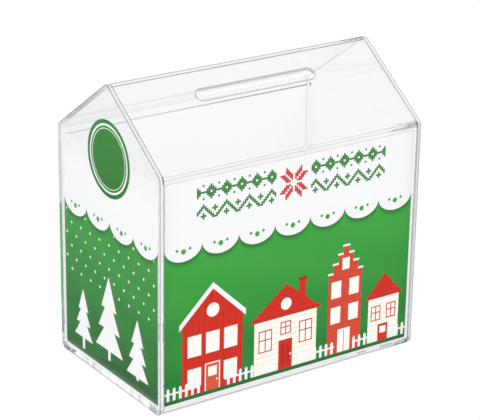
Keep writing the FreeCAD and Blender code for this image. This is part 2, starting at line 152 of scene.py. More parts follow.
def slab(b, outer, holes, lift, low, high, edge_low, edge_high, mat_low=0, mat_high=0, mat_side=0, seg=4, low_face=True, mat_round=None, line=0.0):
    """A plate between two levels with rounded edges. outer and holes are lists of stations (2-D point, 2-D normal away
    from the loop's centre); lift(u, v, w) gives the point in space and up is its level direction."""
    up = (lift(0, 0, 1) - lift(0, 0, 0)).normalized()
    side = lambda n: lift(n.x, n.y, 0) - lift(0, 0, 0)
    tops, bottoms = [], []
    for k, loop in enumerate([outer] + holes):
        out = 1 if k == 0 else -1      # a hole's wall faces its own centre
        levels = []                     # (inset into the sheet, level, tilt from the wall's own direction)
        for i in range(seg + 1):
            t = (1 - i / seg) * math.pi / 2
            if edge_low > 0 or i == 0:
                levels.append((edge_low * (1 - math.cos(t)), low + edge_low * (1 - math.sin(t)), -t if edge_low > 0 else 0))
        # line > 0: a flat band of that width under the top's rounded edge takes the rounded edge's material, a painted
        # grey band
        if line > 0:
            levels.append((0.0, high - edge_high - line, 0))
        for i in range(seg + 1):
            t = i / seg * math.pi / 2
            if edge_high > 0 or i == 0:
                levels.append((edge_high * (1 - math.cos(t)), high - edge_high * (1 - math.sin(t)), t if edge_high > 0 else 0))
        rings, normals = [], []
        for inset, level, tilt in levels:
            rings.append([lift(*(p - n * (inset * out)), level) for p, n in loop])
            normals.append([side(n) * (out * math.cos(tilt)) + up * math.sin(tilt) for p, n in loop])
        for i in range(len(rings) - 1):
            flat = (levels[i][2] == 0 == levels[i + 1][2] and not high - edge_high - line - 1e-6 < levels[i][1] < high - edge_high) or mat_round is None
            b.strip(rings[i], rings[i + 1], normals[i], normals[i + 1], True, mat_side if flat else mat_round)
        bottoms.append((rings[0], [p - n * (levels[0][0] * out) for p, n in loop]))
        tops.append((rings[-1], [p - n * (levels[-1][0] * out) for p, n in loop]))
    for group, normal, mat in ((bottoms, -up, mat_low), (tops, up, mat_high))[0 if low_face else 1:]:
        points = [p for ring, _ in group for p in ring]
        for t in tessellate_polygon([[Vector((q.x, q.y, 0)) for q in flat] for _, flat in group]):
            b.face([points[k] for k in t], normal, mat)


# the house outline, (y, z) in millimetres
DEPTH, EAVE, RISE, SHEET, BEND = 136.0, 174.0, 48.0, 3.0, 5.0
PITCH = math.atan2(RISE, DEPTH / 2)
HOUSE = [Vector(p) for p in ((-DEPTH / 2, 0), (-DEPTH / 2, EAVE), (0, EAVE + RISE), (DEPTH / 2, EAVE), (DEPTH / 2, 0))]


def bends(seg=14):
    """For each of the five bends: stations (bend centre, outward normal), going round from the front bottom edge."""
    out = []
    for i, p in enumerate(HOUSE):
        a = (p - HOUSE[i - 1]).normalized()
        c = (HOUSE[(i + 1) % 5] - p).normalized()
        na, nb = Vector((-a.y, a.x)), Vector((-c.y, c.x))
        centre = p - (na + nb) * (BEND / (1 + na.dot(nb)))
        a0, a1 = math.atan2(na.y, na.x), math.atan2(nb.y, nb.x)
        turn = (a1 - a0 + math.pi) % (2 * math.pi) - math.pi
        out.append([(centre, Vector((math.cos(a0 + turn * k / seg), math.sin(a0 + turn * k / seg)))) for k in range(seg + 1)])
    return out


def X3(x, p):
    return Vector((x, p.x, p.y))


def N3(n):
    return Vector((0, n.x, n.y))


LIP, END = 53.0, 107.0


def section():
    """Stations of the wrapped sheet, from the front lip under the base round to the back lip."""
    down = Vector((0, -1))
    return [(Vector((-LIP, BEND)), down)] + [s for bend in bends() for s in bend] + [(Vector((LIP, BEND)), down)]


def wrap_mesh(materials, end=END, slot_edge=0.35, arris=0.22):
    """The bent sheet, on its lips, front, roof and back. Its ends are welded to the end plates over the whole section but
    for a small groove outside, left by the two scraped arrises."""
    b = Builder()
    stations = section()
    per = len(bends()[0])
    roof_at = 2 * per                        # the flat front slope lies between here and the next station
    outer = [c + n * BEND for c, n in stations]
    inner = [c + n * (BEND - SHEET) for c, n in stations]
    start = [c + n * (BEND - arris) for c, n in stations]
    xs = [-end, 0.0, end]
    xo = [-end + arris, 0.0, end - arris]
    for i in range(len(stations) - 1):
        if i == roof_at:
            continue
        n0, n1 = N3(stations[i][1]), N3(stations[i + 1][1])
        bend, k = divmod(i - 1, per)
        roof = 1 <= bend <= 3 and k < per - 1
        # the inner faces at the ends of the roof bends and parts of the bends' outer faces take the fold_line material,
        # a painted grey line
        crease = 3 if roof and (k < 2 or k > per - 4) else 0
        crown = 3 if (bend == 2 and 5 <= k <= 10) or (bend == 0 and 4 <= k <= 11) or (bend == 4 and 2 <= k <= 9) else 0
        for x0, x1 in zip(xo, xo[1:]):
            b.face([X3(x0, outer[i]), X3(x1, outer[i]), X3(x1, outer[i + 1]), X3(x0, outer[i + 1])], [n0, n0, n1, n1], crown)
        for x0, x1 in zip(xs, xs[1:]):
            b.face([X3(x0, inner[i]), X3(x1, inner[i]), X3(x1, inner[i + 1]), X3(x0, inner[i + 1])], [-n0, -n0, -n1, -n1], crease)
    for sign in (-1, 1):
        n = Vector((sign, 0, 0))
        for i in range(len(stations) - 1):
            b.face([X3(sign * end, start[i]), X3(sign * end, start[i + 1]), X3(sign * end, inner[i + 1]), X3(sign * end, inner[i])], n, 1)
        rings, normals = [], []
        for k in range(4):
            t = k / 3 * math.pi / 2
            rings.append([X3(sign * (end - arris + arris * math.sin(t)), c + m * (BEND - arris + arris * math.cos(t))) for c, m in stations])
            normals.append([N3(m) * math.cos(t) + n * math.sin(t) for c, m in stations])
        for k in range(3):
            b.strip(rings[k], rings[k + 1], normals[k], normals[k + 1], False, 2)
        # the lips' own ends follow that rounded corner
        for i, m in ((0, Vector((0, 1, 0))), (len(stations) - 1, Vector((0, -1, 0)))):
            b.face([r[i] for r in rings] + [X3(sign * end, inner[i]), X3(0.0, inner[i]), X3(0.0, outer[i])], m)
    # the front slope with its slot: u along X, v up the slope, w down through the sheet
    pa, pb, nr = outer[roof_at], outer[roof_at + 1], stations[roof_at][1]
    run = (pb - pa).normalized()
    middle = Vector((0, EAVE + RISE)) - run * 23.4
    at = lambda u, v, w: X3(u, middle + run * v - nr * w)
    half, r, seg = 45.25, 4.75, 24
    outline = arc(Vector((half, 0)), r, -math.pi / 2, math.pi / 2, seg) + [(Vector((0, r)), Vector((0, 1)))]
    outline += arc(Vector((-half, 0)), r, math.pi / 2, 3 * math.pi / 2, seg) + [(Vector((0, -r)), Vector((0, -1)))]
    levels, rings, normals = [], [], []
    for i in range(6):
        t = (1 - i / 5) * math.pi / 2
        levels.append((slot_edge * (1 - math.cos(t)), slot_edge * (1 - math.sin(t)), t))
    for i in range(6):
        t = i / 5 * math.pi / 2
        levels.append((slot_edge * (1 - math.cos(t)), SHEET - slot_edge * (1 - math.sin(t)), -t))
    for inset, w, tilt in levels:
        rings.append([at(*(p + n * inset), w) for p, n in outline])
        normals.append([at(*(-n * math.cos(tilt)), 0) - at(0, 0, 0) + N3(nr) * math.sin(tilt) for p, n in outline])
    for i in range(len(rings) - 1):
        for k in range(len(outline)):
            m = (k + 1) % len(outline)
            upper = outline[k][1].y + outline[m][1].y > 0.1
            b.face([rings[i][k], rings[i][m], rings[i + 1][m], rings[i + 1][k]], [normals[i][k], normals[i][m], normals[i + 1][m], normals[i + 1][k]], (4 if upper else 0) if i == 5 else 2)
    lo, hi = (pa - middle).dot(run), (pb - middle).dot(run)
    for w, ring, normal, inset in ((0, rings[0], N3(nr), levels[0][0]), (SHEET, rings[-1], -N3(nr), levels[-1][0])):
        e = end - arris if w == 0 else end
        border = [(-e, lo), (0, lo), (e, lo), (e, hi), (0, hi), (-e, hi)]
        loops2 = [[Vector((u, v, 0)) for u, v in border], [Vector((*(p + n * inset), 0)) for p, n in outline]]
        points = [at(u, v, w) for u, v in border] + ring
        for t in tessellate_polygon(loops2):
            b.face([points[k] for k in t], normal)
    return b.make("wrap_sheet", materials)


def gable_mesh(name, sign, materials, edge=0.45, arris=0.22, line=0.0):
    """An end plate. Its inner face has the wrapped sheet's section marked on it, where the two are welded."""
    b = Builder()
    stations = section()
    lift = lambda u, v, w: Vector((sign * w, u, v))
    slab(b, [(c + n * BEND, n) for c, n in stations], [], lift, END, END + SHEET, arris, edge, low_face=False, mat_round=2, line=line)
    outer = [lift(*(c + n * (BEND - arris)), END) for c, n in stations]
    inner = [lift(*(c + n * (BEND - SHEET)), END) for c, n in stations]
    flat, normal = (lambda p: (p.y, p.z)), Vector((-sign, 0, 0))
    b.fill([inner + [outer[-1], outer[0]]], flat, normal, 0)
    for i in range(len(stations) - 1):
        b.face([outer[i], outer[i + 1], inner[i + 1], inner[i]], normal, 1)
    return b.make(name, materials)


LIFT_Z = lambda u, v, w: Vector((u, v, w))


# ---------------------------------------------------------------------------
# shading helpers
# ---------------------------------------------------------------------------
class Shade:
    """Arithmetic on the sockets of one material."""

    def __init__(self, name):
        self.mat = bpy.data.materials.new(name)
        self.mat.use_nodes = True
        self.nt = self.mat.node_tree
        self.nt.nodes.clear()
        self.out = self.new("ShaderNodeOutputMaterial")

    def new(self, kind, **props):
        node = self.nt.nodes.new(kind)
        for k, v in props.items():
            setattr(node, k, v)
        return node

    def put(self, socket, value):
        if isinstance(value, S):
            value = value.k
        if isinstance(value, bpy.types.NodeSocket):
            self.nt.links.new(value, socket)
        elif value is not None:
            if hasattr(socket.default_value, "__len__") and not hasattr(value, "__len__"):
                value = [value] * len(socket.default_value)
            if hasattr(value, "__len__") and len(value) == 3 and len(socket.default_value) == 4:
                value = (*value, 1.0)
            socket.default_value = value

    def op(self, kind, a, b=None, c=None, clamp=False):
        node = self.new("ShaderNodeMath", operation=kind, use_clamp=clamp)
        for i, v in enumerate((a, b, c)):
            if v is not None:
                self.put(node.inputs[i], v)
        return S(self, node.outputs[0])

    def step(self, x, low, high):
        """0 where x is under low, 1 over high, smooth between; low may be the larger."""
        node = self.new("ShaderNodeMapRange", interpolation_type="SMOOTHSTEP")
        lo, hi, a, b = (low, high, 0.0, 1.0) if low < high else (high, low, 1.0, 0.0)
        for i, v in enumerate((x, lo, hi, a, b)):
            self.put(node.inputs[i], v)
        return S(self, node.outputs[0])

    def mix(self, a, b, f):
        node = self.new("ShaderNodeMix", data_type="RGBA")
        self.put(node.inputs[0], f)
        self.put(node.inputs[6], a)
        self.put(node.inputs[7], b)
        return node.outputs[2]

    def coords(self, scale=1000.0):
        """Object coordinates in millimetres."""
        tc = self.new("ShaderNodeTexCoord")
        sep = self.new("ShaderNodeSeparateXYZ")
        self.nt.links.new(tc.outputs["Object"], sep.inputs[0])
        self.vector = tc.outputs["Object"]
        return [S(self, sep.outputs[i]) * scale for i in range(3)]

    def noise(self, scale, detail=2.0, rough=0.5, stretch=None, vector=None):
        vec = vector if vector is not None else self.new("ShaderNodeTexCoord").outputs["Object"]
        if stretch:
            m = self.new("ShaderNodeMapping")
            m.inputs["Scale"].default_value = stretch
            self.nt.links.new(vec, m.inputs[0])
            vec = m.outputs[0]
        n = self.new("ShaderNodeTexNoise")
        n.inputs["Scale"].default_value = scale
        n.inputs["Detail"].default_value = detail
        n.inputs["Roughness"].default_value = rough
        self.nt.links.new(vec, n.inputs["Vector"])
        return S(self, n.outputs[0])

    def bump(self, height, distance, strength=1.0):
        n = self.new("ShaderNodeBump")
        n.inputs["Strength"].default_value = strength
        n.inputs["Distance"].default_value = distance
        self.put(n.inputs["Height"], height)
        return n.outputs[0]

    def principled(self, **values):
        p = self.new("ShaderNodeBsdfPrincipled")
        for k, v in values.items():
            self.put(p.inputs[k.replace("_", " ")], v)
        return p


class S:
    """One socket with ordinary arithmetic."""

    def __init__(self, sh, k):
        self.sh, self.k = sh, k

    def __add__(self, o):
        return self.sh.op("ADD", self, o)

    __radd__ = __add__

    def __sub__(self, o):
        return self.sh.op("SUBTRACT", self, o)

    def __rsub__(self, o):
        return self.sh.op("SUBTRACT", o, self)

    def __mul__(self, o):
        return self.sh.op("MULTIPLY", self, o)

    __rmul__ = __mul__

    def __truediv__(self, o):
        return self.sh.op("DIVIDE", self, o)

    def abs(self):
        return self.sh.op("ABSOLUTE", self)

    def floor(self):
        return self.sh.op("FLOOR", self)

    def mod(self, o):
        return self.sh.op("FLOORED_MODULO", self, o)

    def max(self, o):
        return self.sh.op("MAXIMUM", self, o)

    def min(self, o):
        return self.sh.op("MINIMUM", self, o)

    def less(self, o):
        return self.sh.op("LESS_THAN", self, o)

    def more(self, o):
        return self.sh.op("GREATER_THAN", self, o)

    def sqrt(self):
        return self.sh.op("SQRT", self)

    def sin(self):
        return self.sh.op("SINE", self)


def srgb(r, g, b):
    f = lambda c: c / 12.92 if c <= 0.04045 else ((c + 0.055) / 1.055) ** 2.4
    return tuple(f(c / 255) for c in (r, g, b))


# ---------------------------------------------------------------------------
# materials
# ---------------------------------------------------------------------------
def clear_material():
    """Clear cast sheet: faint waviness on the faces, saw marks left on the bottom edge that nobody polishes, and
    painted light and shade in its tint at a few places.
    """
    sh = Shade("clear_sheet")
    x, y, z = sh.coords()
    geo = sh.new("ShaderNodeNewGeometry")
    sep = sh.new("ShaderNodeSeparateXYZ")
    sh.nt.links.new(geo.outputs["True Normal"], sep.inputs[0])
    under = sh.step(z, 0.6, 0.2)
    marks = sh.noise(90.0, 3.0, 0.6, (1.0, 1.0, 0.2)) * under
    wave = sh.noise(14.0, 1.0, 0.4)
    bump = sh.bump(marks * 0.9 + wave * 0.004, 0.0006)
    # painted light: the left end sheet gets a clearer tint than the rest, so that side reads brighter
    left = sh.step(x, -106.5, -106.9)
    tint = sh.mix((0.960, 0.961, 0.965), (0.995, 0.995, 0.997), left)
    # painted shade: a dark line along the bottom arris of the two end sheets
    bottom_rim_shade = sh.step(z, 1.1, 0.8) * sh.step(x.abs(), 106.9, 107.2)
    tint = sh.mix(tint, (0.62, 0.63, 0.65), bottom_rim_shade)
    # chips and saw marks low on the front's right half and all along the left end, with their darkness painted shade
    chip_shade = sh.step(sh.noise(120.0, 1.0, 0.5), 0.47, 0.54) * sh.step(x, 30.0, 60.0) * sh.step(y, -66.0, -66.6)
    saw_mark_shade = sh.step(sh.noise(150.0, 2.0, 0.6, (1.0, 1.0, 0.12)), 0.40, 0.64) * sh.step(sh.noise(40.0, 1.0, 0.5, (1.0, 1.0, 0.1)), 0.28, 0.50) * sh.step(x, -109.0, -109.4)
    tint = sh.mix(tint, (0.40, 0.41, 0.43), chip_shade.max(saw_mark_shade) * sh.step(z, 6.4, 5.6))
    # painted shade: a dark patch at the right end of the front fold
    fold_end_shade = sh.step(x, 81.0, 86.0) * sh.step(y, -62.0, -63.8) * sh.step(z, 170.4, 171.6) * sh.step(z, 175.0, 173.9)
    tint = sh.mix(tint, (0.56, 0.57, 0.59), fold_end_shade * sh.step(sh.noise(90.0, 2.0, 0.55, (0.25, 1.0, 1.0)), 0.47, 0.51))
    # painted shade: the right end sheet's own edge darkened, seen from the front
    edge = sh.step(x, 107.15, 107.25) * sh.step(y, -67.5, -67.9) * sh.step(z, 172.0, 170.0)
    tint = sh.mix(tint, (0.52, 0.53, 0.55), edge)
    p = sh.principled(Base_Color=tint, Roughness=0.0, IOR=1.49, Transmission_Weight=1.0, Normal=bump)
    lp = sh.new("ShaderNodeLightPath")
    through = sh.op("MAXIMUM", lp.outputs["Is Shadow Ray"], lp.outputs["Is Diffuse Ray"])
    clear = sh.new("ShaderNodeBsdfTransparent")
    clear.inputs[0].default_value = (0.985, 0.987, 0.99, 1)
    m = sh.new("ShaderNodeMixShader")
    sh.put(m.inputs[0], through)
    sh.nt.links.new(p.outputs[0], m.inputs[1])
    sh.nt.links.new(clear.outputs[0], m.inputs[2])
    sh.nt.links.new(m.outputs[0], sh.out.inputs[0])
    return sh.mat


def arris_material():
    """The scraped arris along an edge: a narrow satin bevel that greys what lies behind it, made darker towards the
    right end as painted shade.
    """
    sh = Shade("scraped_arris")
    grain = sh.noise(120.0, 2.0, 0.6)
    t = sh.new("ShaderNodeBsdfTransparent")
    sh.put(t.inputs[0], sh.mix((0.50, 0.51, 0.53), (0.70, 0.71, 0.73), grain))
    p = sh.principled(Base_Color=(0.30, 0.305, 0.32), Roughness=0.35)
    x, y, z = sh.coords()
    m = sh.new("ShaderNodeMixShader")
    # painted shade: more of the dark satin towards the right end
    sh.put(m.inputs[0], sh.step(x, -20.0, 60.0) * 0.22 + 0.32)
    sh.nt.links.new(t.outputs[0], m.inputs[1])
    sh.nt.links.new(p.outputs[0], m.inputs[2])
    sh.nt.links.new(m.outputs[0], sh.out.inputs[0])
    return sh.mat


def bond_material():
    """The welded joint: two sheets run into one another, with a faint grey haze and a few fine bubbles in the seam, and
    painted light, shade and reflection at a few places.
    """
    sh = Shade("welded_joint")
    seed = sh.noise(180.0, 2.0, 0.5)
    x, y, z = sh.coords()
    tint = sh.mix((0.82, 0.83, 0.84), (0.70, 0.71, 0.72), sh.step(seed, 0.35, 0.75))
    # fine bubbles in the seam, with their darkness low down painted shade
    bubble_shade = sh.step(sh.noise(230.0, 2.0, 0.6), 0.54, 0.62) * sh.step(z, 48.0, 20.0)
    tint = sh.mix(tint, (0.42, 0.43, 0.45), bubble_shade)
    # painted light: a paler patch in the joint near the right end of the back eave
    tint = sh.mix(tint, (0.93, 0.93, 0.935), sh.step(x, 0.0, 1.0) * sh.step(y, 60.0, 62.0) * sh.step(z, 176.0, 173.0))
    # painted reflection: the print's green, as seen turned round inside the sheet, laid on the back corners low down
    caught = sh.step(y, 66.2, 66.5) * sh.step(z, 10.0, 12.0) * sh.step(z + x.more(0.0) * 10.0, 115.0, 112.0)
    tint = sh.mix(tint, (0.12, 0.46, 0.16), caught * (1.0 - bubble_shade))
    # painted shade: darker strips in the joint at the right end's front wall and the left end's back slope
    painted_shade_strips = (sh.step(x, 0.0, 1.0) * sh.step(y, -64.5, -65.5) * sh.step(z, 172.0, 168.0)).max(sh.step(x, 0.0, -1.0) * sh.step(y, 4.0, 20.0) * sh.step(z, 177.0, 184.0))
    tint = sh.mix(tint, sh.mix((0.66, 0.67, 0.69), (0.52, 0.53, 0.55), sh.step(x, -1.0, 1.0)), painted_shade_strips)
    # painted shade: a dark spot in the joint at the front eave
    painted_dark_spot = sh.step(((y + 66.0) * (y + 66.0) + (z - 172.0) * (z - 172.0)).sqrt(), 3.4, 1.6)
    tint = sh.mix(tint, (0.30, 0.31, 0.33), painted_dark_spot * sh.step(sh.noise(420.0, 1.0, 0.5), 0.40, 0.52))
    t = sh.new("ShaderNodeBsdfTransparent")
    sh.put(t.inputs[0], tint)
    sh.nt.links.new(t.outputs[0], sh.out.inputs[0])
    return sh.mat


def line_material():
    """Where a bend begins the sheet turns what lies behind it, which shows as a fine grey line along the fold; that
    grey is painted here, paler near the ridge and an even grey low down.
    """
    sh = Shade("fold_line")
    soft = sh.noise(60.0, 2.0, 0.5, (0.3, 1.0, 1.0))
    t = sh.new("ShaderNodeBsdfTransparent")
    x, y, z = sh.coords()
    # painted light: the line is paler near the ridge
    high = sh.step(z, 195.0, 200.0) * sh.step(z, 218.8, 218.4)
    grey = sh.mix(sh.mix((0.50, 0.51, 0.53), (0.66, 0.67, 0.69), soft), (0.88, 0.885, 0.89), high)
    grey = sh.mix(grey, (0.64, 0.65, 0.67), sh.step(z, 12.0, 10.0))
    # painted shade: a dark spot on the fold line at one place
    painted_dark_spot = sh.step(sh.noise(110.0, 2.0, 0.6), 0.46, 0.52) * sh.step(x, 78.0, 84.0) * sh.step(y, -50.0, -60.0) * sh.step(z, 100.0, 120.0)
    sh.put(t.inputs[0], sh.mix(grey, (0.20, 0.21, 0.23), painted_dark_spot))
    sh.nt.links.new(t.outputs[0], sh.out.inputs[0])
    return sh.mat


def milled_material():
    """The wall of the slot, milled and left satin."""
    sh = Shade("milled_wall")
    grain = sh.noise(160.0, 2.0, 0.6, (0.2, 1.0, 1.0))
    t = sh.new("ShaderNodeBsdfTransparent")
    sh.put(t.inputs[0], sh.mix((0.60, 0.61, 0.63), (0.78, 0.79, 0.80), grain))
    p = sh.principled(Base_Color=sh.mix((0.34, 0.345, 0.36), (0.5, 0.505, 0.52), grain), Roughness=0.4)
    m = sh.new("ShaderNodeMixShader")
    m.inputs[0].default_value = 0.5
    sh.nt.links.new(t.outputs[0], m.inputs[1])
    sh.nt.links.new(p.outputs[0], m.inputs[2])
    sh.nt.links.new(m.outputs[0], sh.out.inputs[0])
    return sh.mat


def cut_material():
    """The cut edge of a film."""
    sh = Shade("film_edge")
    grain = sh.noise(500.0, 2.0, 0.6)
    p = sh.principled(Base_Color=sh.mix(srgb(120, 122, 126), srgb(150, 152, 156), grain), Roughness=0.6)
    sh.nt.links.new(p.outputs[0], sh.out.inputs[0])
    return sh.mat


GREEN_TOP, GREEN_LOW = srgb(55, 162, 58), srgb(26, 124, 46)
RED, RED_DARK, CREAM, WHITE = srgb(210, 36, 12), srgb(174, 26, 12), srgb(255, 250, 238), srgb(244, 244, 244)
SOFT = 0.12      # half width of a printed edge, mm


class Art(Shade):
    """Flat printed artwork: u across and v up, in millimetres."""

    def begin(self, u, v, base):
        self.u, self.v, self.colour = u, v, base

    def motif(self, name, draw):
        """Draws one motif in a group of its own: u, v and the colour so far go in, the new colour comes out."""
        tree, u, v, colour = self.nt, self.u, self.v, self.colour
        g = bpy.data.node_groups.new(name, "ShaderNodeTree")
        for label, kind in (("u", "NodeSocketFloat"), ("v", "NodeSocketFloat"), ("colour", "NodeSocketColor")):
            g.interface.new_socket(label, in_out="INPUT", socket_type=kind)
        g.interface.new_socket("colour", in_out="OUTPUT", socket_type="NodeSocketColor")
        gi, go = g.nodes.new("NodeGroupInput"), g.nodes.new("NodeGroupOutput")
        self.nt = g
        self.u, self.v, self.colour = S(self, gi.outputs[0]), S(self, gi.outputs[1]), gi.outputs[2]
        draw(self)
        g.links.new(self.colour, go.inputs[0])
        self.nt, self.u, self.v = tree, u, v
        node = self.new("ShaderNodeGroup", node_tree=g)
        for i, value in enumerate((u, v, colour)):
            self.put(node.inputs[i], value)
        self.colour = node.outputs[0]

    def lay(self, colour, mask):
        self.colour = self.mix(self.colour, colour, mask)

    def ink(self, d):
        """Mask of where the distance d is negative."""
        return self.step(d, SOFT, -SOFT)

    def rect(self, x0, x1, v0, v1, u=None):
        u = self.u if u is None else u
        d = ((u - (x0 + x1) / 2).abs() - (x1 - x0) / 2).max((self.v - (v0 + v1) / 2).abs() - (v1 - v0) / 2)
        return self.ink(d)

    def gable(self, cx, half, v0, rise, u=None):
        u = self.u if u is None else u
        slope = rise / half
        d = ((self.v - v0) + (u - cx).abs() * slope - rise) * (1 / math.sqrt(1 + slope * slope))
        return self.ink(d.max(v0 - self.v))

    def disc(self, cx, cv, r, u=None):
        u = self.u if u is None else u
        du, dv = u - cx, self.v - cv
        return self.ink((du * du + dv * dv).sqrt() - r)

    def window(self, cx, hw, v0, v1, frame, pane, u=None, bars=True):
        """A framed window with a cross bar."""
        u = self.u if u is None else u
        self.lay(frame, self.rect(cx - hw, cx + hw, v0, v1, u))
        f = 0.9
        self.lay(pane, self.rect(cx - hw + f, cx + hw - f, v0 + f, v1 - f, u))
        if bars:
            vm = v0 + (v1 - v0) * 0.56
            d = ((u - cx).abs() - 0.45).min((self.v - vm).abs() - 0.45)
            inside = self.rect(cx - hw + f, cx + hw - f, v0 + f, v1 - f, u)
            self.lay(frame, self.ink(d) * inside)

    def field(self, low, high, lower=GREEN_LOW, upper=GREEN_TOP):
        """The green ground, lighter towards the top, with a faint slanting sheen."""
        g = self.mix(lower, upper, self.step(self.v, low, high))
        sheen = ((self.u * 0.32 + self.v) * 0.16).sin() * 0.5 + 0.5
        self.colour = self.mix(g, srgb(88, 180, 80), sheen * 0.10)

    def scallops(self, period, top, drop, shift=0.0, white=WHITE):
        """A white scalloped edge hanging over the green, with its soft shadow and an eyelet in each scallop."""
        c = ((self.u + shift).mod(period) - period / 2) * (2 / period)
        edge = (1.0 - c * c).max(0.0).sqrt() * (-drop) + top
        d = edge - self.v                       # positive below the edge
        shade = self.step(d, 7.0, 0.0)
        self.colour = self.mix(self.colour, srgb(22, 74, 34), shade * shade * 0.62)
        self.lay(white, self.step(d, SOFT * 1.6, -SOFT * 1.6))
        cu = c * (period / 2)
        self.lay(GREEN_TOP, self.disc(0.0, top - drop * 0.34, 1.9, cu))
        side = cu.abs()
        self.lay(GREEN_TOP, self.disc(5.2, top - drop * 0.2, 1.1, side))
        return d

    def stitches(self, colour, chosen, i_f, j_f):
        """One small cross in every chosen cell."""
        fx, fv = (i_f - 0.5).abs(), (j_f - 0.5).abs()
        cross = self.step((fx - fv).abs(), 0.46, 0.40) * self.step(fx.max(fv), 0.50, 0.48)
        self.lay(colour, cross * chosen)

    def done(self, film_rough=0.42):
        """Printed film: ink with a faint mottle under a satin surface."""
        mottle = self.noise(420.0, 2.0, 0.6)
        colour = self.mix(self.colour, (0.0, 0.0, 0.0), (mottle - 0.5).max(0.0) * 0.10)
        rough = self.noise(60.0, 2.0, 0.5) * 0.12 + (film_rough - 0.06)
        ripple = self.bump(self.noise(9.0, 1.0, 0.4), 0.0004, 0.35)
        p = self.principled(Base_Color=colour, Roughness=rough, IOR=1.45, Specular_IOR_Level=0.08, Normal=ripple)
        self.nt.links.new(p.outputs[0], self.out.inputs[0])
        return self.mat


PANE = srgb(255, 252, 244)
BOARD = srgb(226, 210, 178)


def planks(a):
    return a.step(((a.u + 200.0).mod(5.2) - 2.6).abs(), 0.34, 0.18)


def clapboard(a):
    return a.step((a.v.mod(4.1) - 2.05).abs(), 0.26, 0.12)


def tiles(a):
    return a.step(((a.v + (((a.u + 200.0) * 0.62).sin() * 0.35)).mod(3.6) - 1.8).abs(), 0.34, 0.14)


def plank_house(a):
    """A red plank house with a white bargeboard."""
    u, v, cx, half, wall, rise = a.u, a.v, -66.0, 25.0, 62.0, 24.0
    both = a.rect(cx - half, cx + half, 9.0, wall).max(a.gable(cx, half, wall, rise))
    a.lay(RED, both)
    a.lay(RED_DARK, planks(a) * both * 0.8)
    slope = rise / half
    edge = ((v - wall) + (u - cx).abs() * slope - rise) * (1 / math.sqrt(1 + slope * slope))
    a.lay(WHITE, a.ink((edge - 1.6).abs() - 1.7) * a.step(v, wall - 2.6, wall - 2.4) * a.step((u - cx).abs(), half + 2.6, half + 2.4))
    m = (u - cx).abs()
    a.window(15.0, 5.6, 38.0, 54.0, WHITE, CREAM, m)
    a.window(0.0, 5.6, 38.0, 54.0, WHITE, CREAM, m)
    a.window(15.0, 5.6, 15.0, 29.0, WHITE, CREAM, m)
    a.lay(WHITE, a.rect(cx - 6.4, cx + 6.4, 9.0, 30.4))
    a.lay(srgb(214, 86, 50), a.rect(cx - 5.4, cx + 5.4, 9.0, 29.4))
    a.lay(CREAM, a.rect(cx - 3.6, cx + 3.6, 20.0, 27.2))
    a.lay(CREAM, a.disc(cx + 3.8, 16.6, 0.7))
    a.lay(WHITE, a.disc(cx, 70.0, 5.2))
    a.lay(CREAM, a.disc(cx, 70.0, 4.2))


def board_house(a):
    """A cream boarded house with a red tiled roof and a chimney."""
    wall = a.rect(-31.0, 23.0, 9.0, 50.0)
    a.lay(CREAM, wall)
    a.lay(BOARD, clapboard(a) * wall)
    a.lay(RED, a.rect(7.0, 13.0, 56.0, 76.0))
    a.lay(RED_DARK, a.rect(6.2, 13.8, 74.6, 77.2))
    roof = a.gable(-4.0, 31.5, 50.0, 25.0)
    a.lay(RED, roof)
    a.lay(RED_DARK, tiles(a) * roof * 0.75)
    m = (a.u + 4.0).abs()
    a.window(17.5, 5.8, 26.0, 43.0, RED, PANE, m)
    a.window(0.0, 4.6, 36.0, 46.0, RED, PANE, m)
    a.lay(RED, a.rect(-10.0, 2.0, 9.0, 32.0))
    a.lay(RED_DARK, a.rect(-7.6, -4.8, 12.0, 29.0).max(a.rect(-3.2, -0.4, 12.0, 29.0)) * 0.75)
    a.lay(CREAM, a.disc(0.5, 19.5, 0.7))
    a.lay(WHITE, a.disc(-4.0, 59.5, 4.6))
    a.lay(PANE, a.disc(-4.0, 59.5, 3.6))


def step_house(a):
    """A tall brick house with a stepped gable."""
    body = a.rect(33.0, 63.0, 9.0, 72.0)
    for half, v0, v1 in ((11.0, 72.0, 79.0), (6.5, 79.0, 86.0), (2.5, 86.0, 92.0)):
        body = body.max(a.rect(48.0 - half, 48.0 + half, v0, v1))
    a.lay(srgb(214, 70, 42), body)
    a.lay(RED_DARK, a.step((a.v.mod(3.0) - 1.5).abs(), 0.22, 0.1) * body * 0.55)
    for v0, out, inn in ((72.0, 15.8, 11.0), (79.0, 11.8, 6.5), (86.0, 7.3, 2.5), (92.0, 3.2, -1.0)):
        a.lay(WHITE, a.rect(48.0 - out, 48.0 + out, v0 - 0.2, v0 + 1.4) * a.ink(inn - (a.u - 48.0).abs()))
    m = (a.u - 48.0).abs()
    a.window(8.0, 4.4, 53.0, 66.0, WHITE, CREAM, m)
    a.window(8.0, 4.4, 33.0, 46.0, WHITE, CREAM, m)
    a.lay(WHITE, a.rect(42.4, 53.6, 9.0, 27.6))
    a.lay(CREAM, a.rect(43.4, 52.6, 9.0, 26.6))
    a.lay(RED, a.rect(47.7, 48.3, 9.0, 26.6))
    a.window(0.0, 3.2, 74.0, 83.0, WHITE, CREAM, m, False)


def small_house(a):
    """A small cream house."""
    wall = a.rect(70.0, 98.0, 9.0, 44.0)
    a.lay(CREAM, wall)
    a.lay(BOARD, clapboard(a) * wall)
    roof = a.gable(84.0, 17.4, 44.0, 19.0)
    a.lay(RED, roof)
    a.lay(RED_DARK, tiles(a) * roof * 0.75)
    m = (a.u - 84.0).abs()
    a.window(7.0, 4.4, 26.0, 38.0, RED, PANE, m)
    a.lay(RED, a.rect(79.4, 88.6, 9.0, 22.6))
    a.lay(PANE, a.rect(81.2, 86.8, 15.2, 20.6))


